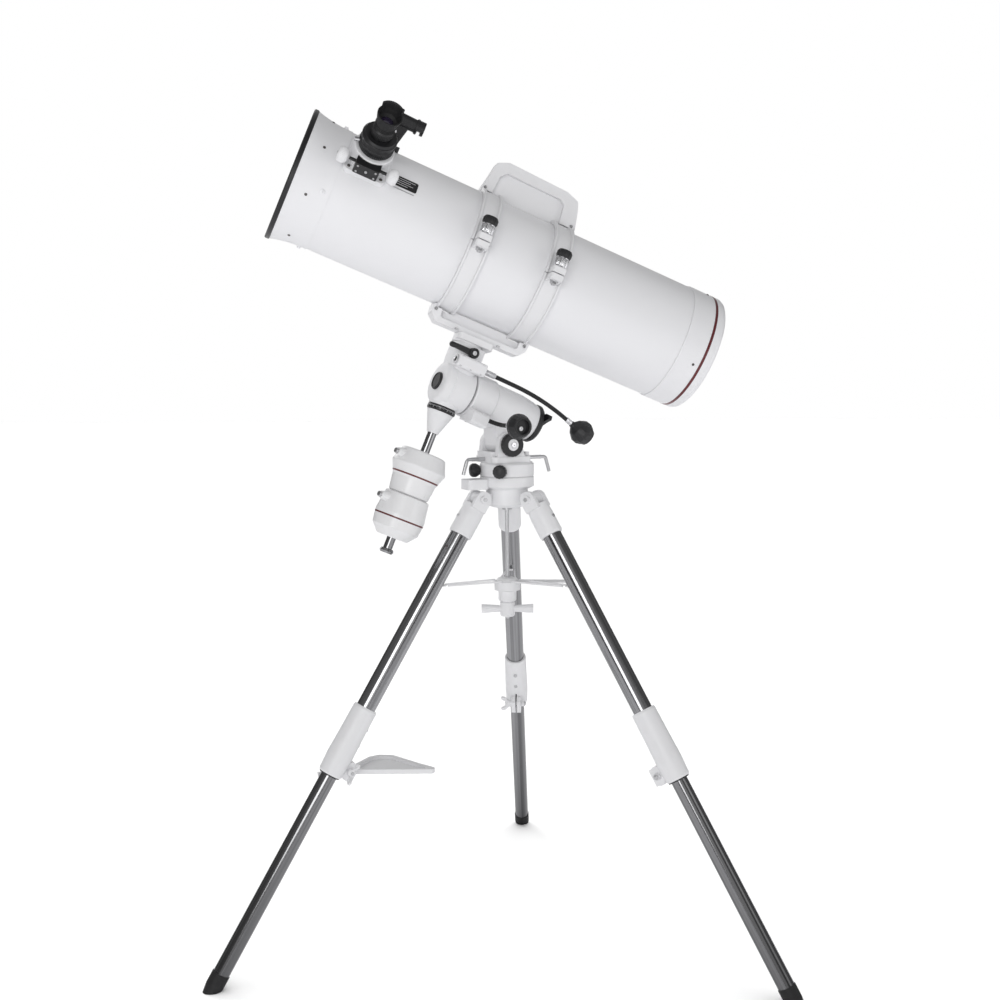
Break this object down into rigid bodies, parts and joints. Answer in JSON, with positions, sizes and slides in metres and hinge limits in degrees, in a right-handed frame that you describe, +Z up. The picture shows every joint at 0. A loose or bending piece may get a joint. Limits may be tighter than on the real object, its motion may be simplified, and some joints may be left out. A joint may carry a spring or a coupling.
{
  "type": "newtonian reflector telescope",
  "caption": "White Newtonian reflector on a German equatorial mount and a stainless steel tripod, with side focuser, cradle rings, counterweights and flexible slow-motion controls.",
  "frame": {"origin": "on the floor, under the centre of the telescope's bounding box", "axes": "+Z up, +X to the right as seen by somebody standing beside the focuser, +Y away from them; the polar axis points up and to the left, towards them"},
  "size_m": [1.1024, 0.9888, 1.641],
  "materials": {
    "white_paint": "satin white paint",
    "white_cast": "white powder coat on die-cast aluminium",
    "stainless": "polished stainless with drawn streaks",
    "chrome": "bright plated",
    "black_plastic": "fine-grained black plastic",
    "black_metal": "satin black",
    "rubber": "matt black",
    "steel": "machined steel",
    "mirror": "aluminised glass",
    "weight_paint": "white enamel on cast iron"
  },
  "bodies": {
    "tripod_head": {"tripod_hub": "white_cast", "hub_rod_and_bolts": "steel"},
    "leg_front_left": {"leg_castings_front_left": "white_cast", "upper_tube_front_left": "stainless", "accessory_tray": "white_cast"},
    "leg_extension_front_left": {"lower_leg_front_left": "stainless"},
    "wing_bolt_front_left": {"leg_wing_bolt_front_left": "white_cast"},
    "leg_front_right": {"leg_castings_front_right": "white_cast", "upper_tube_front_right": "stainless"},
    "leg_extension_front_right": {"lower_leg_front_right": "stainless"},
    "wing_bolt_front_right": {"leg_wing_bolt_front_right": "white_cast"},
    "leg_rear": {"leg_castings_rear": "white_cast", "upper_tube_rear": "stainless"},
    "leg_extension_rear": {"lower_leg_rear": "stainless"},
    "wing_bolt_rear": {"leg_wing_bolt_rear": "white_cast"},
    "spreader": {"spreader_plate": "white_cast"},
    "spreader_nut": {"spreader_nut": "white_cast"},
    "mount_base": {"azimuth_base": "white_cast"},
    "azimuth_knob_front": {"azimuth_knob_front": "black_plastic"},
    "azimuth_knob_side": {"azimuth_knob_side": "black_plastic"},
    "latitude_bolt_north": {"latitude_bolt_north": "chrome"},
    "latitude_bolt_south": {"latitude_bolt_south": "chrome"},
    "altitude_lock": {"altitude_lock": "black_plastic"},
    "polar_body": {"ra_housing": "white_cast", "ra_cable": "rubber"},
    "ra_lever": {"ra_clutch_lever": "black_plastic"},
    "ra_knob": {"ra_slow_knob": "black_plastic"},
    "declination_body": {"dec_housing": "white_cast", "ra_axle_and_cap": "steel", "counterweight_shaft": "chrome", "dec_cable": "rubber"},
    "dec_circle": {"dec_setting_circle": "black_metal"},
    "weight_upper": {"counterweight_upper": "weight_paint"},
    "weight_lower": {"counterweight_lower": "weight_paint"},
    "weight_lock_upper": {"weight_lock_upper": "steel"},
    "weight_lock_lower": {"weight_lock_lower": "steel"},
    "dec_knob": {"dec_slow_knob": "black_plastic"},
    "dec_lever": {"dec_clutch_lever": "black_plastic"},
    "saddle_body": {"saddle": "white_cast", "cradle_bracket": "white_cast", "lower_rings": "white_cast"},
    "upper_cradle": {"upper_rings": "white_cast", "top_handle": "white_cast"},
    "clamp_front": {"clamp_knob_front": "chrome"},
    "clamp_rear": {"clamp_knob_rear": "chrome"},
    "optical_tube": {"main_tube": "white_paint", "front_cell": "white_paint", "front_trim_ring": "black_metal", "rear_cell": "white_paint", "mirror_cell": "black_metal", "primary_mirror": "mirror", "collimation_screws": "chrome", "spider": "black_metal", "secondary_mirror": "mirror", "focuser_base": "white_cast", "pinion_housing": "black_metal", "red_dot_finder": "black_plastic"},
    "focus_shaft": {"focus_shaft": "chrome"},
    "drawtube": {"drawtube": "black_metal"},
    "eyepiece": {"eyepiece": "black_plastic"}
  },
  "joints": [
    {"name": "leg_fold_front_left", "type": "hinge", "parent": "tripod_head", "child": "leg_front_left", "pos_m": [-0.03789, -0.16473, 0.8903], "axis": [0.4509, -0.8926, 0], "range_deg": [0, 5]},
    {"name": "leg_extend_front_left", "type": "slide", "parent": "leg_front_left", "child": "leg_extension_front_left", "axis": [-0.4733, -0.2391, -0.8478], "range_m": [-0.16, 0.17]},
    {"name": "leg_lock_front_left", "type": "hinge", "parent": "leg_front_left", "child": "wing_bolt_front_left", "pos_m": [-0.29036, -0.29226, 0.37957], "axis": [0.4509, -0.8926, 0], "range_deg": [0, 150]},
    {"name": "leg_fold_front_right", "type": "hinge", "parent": "tripod_head", "child": "leg_front_right", "pos_m": [0.06846, -0.17067, 0.8903], "axis": [0.5476, 0.8368, 0], "range_deg": [0, 5]},
    {"name": "leg_extend_front_right", "type": "slide", "parent": "leg_front_right", "child": "leg_extension_front_right", "axis": [0.4437, -0.2903, -0.8478], "range_m": [-0.16, 0.17]},
    {"name": "leg_lock_front_right", "type": "hinge", "parent": "leg_front_right", "child": "wing_bolt_front_right", "pos_m": [0.30514, -0.32555, 0.37957], "axis": [0.5476, 0.8368, 0], "range_deg": [0, 150]},
    {"name": "leg_fold_rear", "type": "hinge", "parent": "tripod_head", "child": "leg_rear", "pos_m": [0.02043, -0.0756, 0.8903], "axis": [-0.9984, 0.0558, 0], "range_deg": [0, 5]},
    {"name": "leg_extend_rear", "type": "slide", "parent": "leg_rear", "child": "leg_extension_rear", "axis": [0.0296, 0.5294, -0.8478], "range_m": [-0.16, 0.17]},
    {"name": "leg_lock_rear", "type": "hinge", "parent": "leg_rear", "child": "wing_bolt_rear", "pos_m": [0.03622, 0.20681, 0.37957], "axis": [-0.9984, 0.0558, 0], "range_deg": [0, 150]},
    {"name": "spreader_drop", "type": "slide", "parent": "tripod_head", "child": "spreader", "axis": [0, 0, -1], "range_m": [0, 0.04]},
    {"name": "spreader_nut_turn", "type": "hinge", "parent": "spreader", "child": "spreader_nut", "pos_m": [0.017, -0.137, 0.665], "axis": [0, 0, 1], "continuous": true},
    {"name": "azimuth_turn", "type": "hinge", "parent": "tripod_head", "child": "mount_base", "pos_m": [0.017, -0.137, 0.94], "axis": [0, 0, 1], "range_deg": [-12, 12]},
    {"name": "azimuth_knob_front_turn", "type": "hinge", "parent": "mount_base", "child": "azimuth_knob_front", "pos_m": [0.00453, -0.19569, 0.946], "axis": [-0.2079, -0.9781, 0], "continuous": true},
    {"name": "azimuth_knob_side_turn", "type": "hinge", "parent": "mount_base", "child": "azimuth_knob_side", "pos_m": [-0.04169, -0.14947, 0.946], "axis": [-0.9781, -0.2079, 0], "continuous": true},
    {"name": "latitude_bolt_north_turn", "type": "hinge", "parent": "mount_base", "child": "latitude_bolt_north", "pos_m": [0.017, -0.137, 0.969], "axis": [-0.8821, -0.471, 0], "continuous": true},
    {"name": "latitude_bolt_south_turn", "type": "hinge", "parent": "mount_base", "child": "latitude_bolt_south", "pos_m": [0.017, -0.137, 0.969], "axis": [0.8821, 0.471, 0], "continuous": true},
    {"name": "altitude_lock_turn", "type": "hinge", "parent": "mount_base", "child": "altitude_lock", "pos_m": [0.00465, -0.14359, 0.998], "axis": [0.471, -0.8821, 0], "range_deg": [-60, 0]},
    {"name": "latitude_tilt", "type": "hinge", "parent": "mount_base", "child": "polar_body", "pos_m": [0.00465, -0.14359, 0.998], "axis": [-0.471, 0.8821, 0], "range_deg": [-5, 20]},
    {"name": "ra_clutch_turn", "type": "hinge", "parent": "polar_body", "child": "ra_lever", "pos_m": [0.07413, -0.1065, 1.03361], "axis": [0.8138, 0.4345, -0.3859], "range_deg": [-30, 30]},
    {"name": "ra_slow_motion", "type": "hinge", "parent": "polar_body", "child": "ra_knob", "pos_m": [0.02569, -0.24277, 1.03714], "axis": [0.471, -0.8821, 0], "continuous": true},
    {"name": "ra_rotate", "type": "hinge", "parent": "polar_body", "child": "declination_body", "pos_m": [-0.09189, -0.19514, 1.11233], "axis": [0.8138, 0.4345, -0.3859], "range_deg": [-75, 65]},
    {"name": "dec_circle_turn", "type": "hinge", "parent": "declination_body", "child": "dec_circle", "pos_m": [-0.09189, -0.19514, 1.11233], "axis": [0.363, 0.1385, 0.9214], "continuous": true},
    {"name": "weight_upper_slide", "type": "slide", "parent": "declination_body", "child": "weight_upper", "axis": [0.363, 0.1385, 0.9214], "range_m": [0, 0.038]},
    {"name": "weight_lower_slide", "type": "slide", "parent": "declination_body", "child": "weight_lower", "axis": [0.363, 0.1385, 0.9214], "range_m": [-0.018, 0]},
    {"name": "weight_lock_upper_turn", "type": "hinge", "parent": "weight_upper", "child": "weight_lock_upper", "pos_m": [-0.14815, -0.2166, 0.96951], "axis": [-0.7017, -0.6101, 0.3681], "continuous": true},
    {"name": "weight_lock_lower_turn", "type": "hinge", "parent": "weight_lower", "child": "weight_lock_lower", "pos_m": [-0.18024, -0.22884, 0.88806], "axis": [-0.7017, -0.6101, 0.3681], "continuous": true},
    {"name": "dec_slow_motion", "type": "hinge", "parent": "declination_body", "child": "dec_knob", "pos_m": [0.14605, -0.11716, 1.03642], "axis": [0.7018, 0.3881, -0.5974], "continuous": true},
    {"name": "dec_clutch_turn", "type": "hinge", "parent": "declination_body", "child": "dec_lever", "pos_m": [-0.06331, -0.18387, 1.17752], "axis": [0.4538, -0.89, -0.0451], "range_deg": [-25, 8]},
    {"name": "dec_rotate", "type": "hinge", "parent": "declination_body", "child": "saddle_body", "pos_m": [-0.09189, -0.19514, 1.11233], "axis": [0.363, 0.1385, 0.9214], "continuous": true},
    {"name": "cradle_open", "type": "hinge", "parent": "saddle_body", "child": "upper_cradle", "pos_m": [-0.03267, -0.03031, 1.33881], "axis": [-0.8994, -0.2063, 0.3853], "range_deg": [0, 100]},
    {"name": "clamp_front_turn", "type": "hinge", "parent": "upper_cradle", "child": "clamp_front", "pos_m": [-0.02556, -0.30837, 1.37779], "axis": [0.363, 0.1385, 0.9214], "continuous": true},
    {"name": "clamp_rear_turn", "type": "hinge", "parent": "upper_cradle", "child": "clamp_rear", "pos_m": [0.11115, -0.27701, 1.31922], "axis": [0.363, 0.1385, 0.9214], "continuous": true},
    {"name": "tube_spin", "type": "hinge", "parent": "saddle_body", "child": "optical_tube", "pos_m": [-0.00004, -0.16011, 1.34546], "axis": [0.8994, 0.2063, -0.3853], "range_deg": [-20, 15]},
    {"name": "focus_turn", "type": "hinge", "parent": "optical_tube", "child": "focus_shaft", "pos_m": [-0.22867, -0.35393, 1.50733], "axis": [0.8994, 0.2063, -0.3853], "range_deg": [0, 290]},
    {"name": "drawtube_slide", "type": "slide", "parent": "optical_tube", "child": "drawtube", "axis": [0.3924, -0.7696, 0.5037], "range_m": [0, 0.0375]},
    {"name": "eyepiece_lift", "type": "slide", "parent": "drawtube", "child": "eyepiece", "axis": [0.3924, -0.7696, 0.5037], "range_m": [0, 0.028]}
  ],
  "couplings": [
    {"joint": "leg_fold_front_right", "follows": "leg_fold_front_left", "ratio": 1},
    {"joint": "leg_fold_rear", "follows": "leg_fold_front_left", "ratio": 1},
    {"joint": "spreader_drop", "follows": "leg_fold_front_left", "m_per_rad": 0.45},
    {"joint": "focus_turn", "follows": "drawtube_slide", "rad_per_m": 133.33}
  ]
}
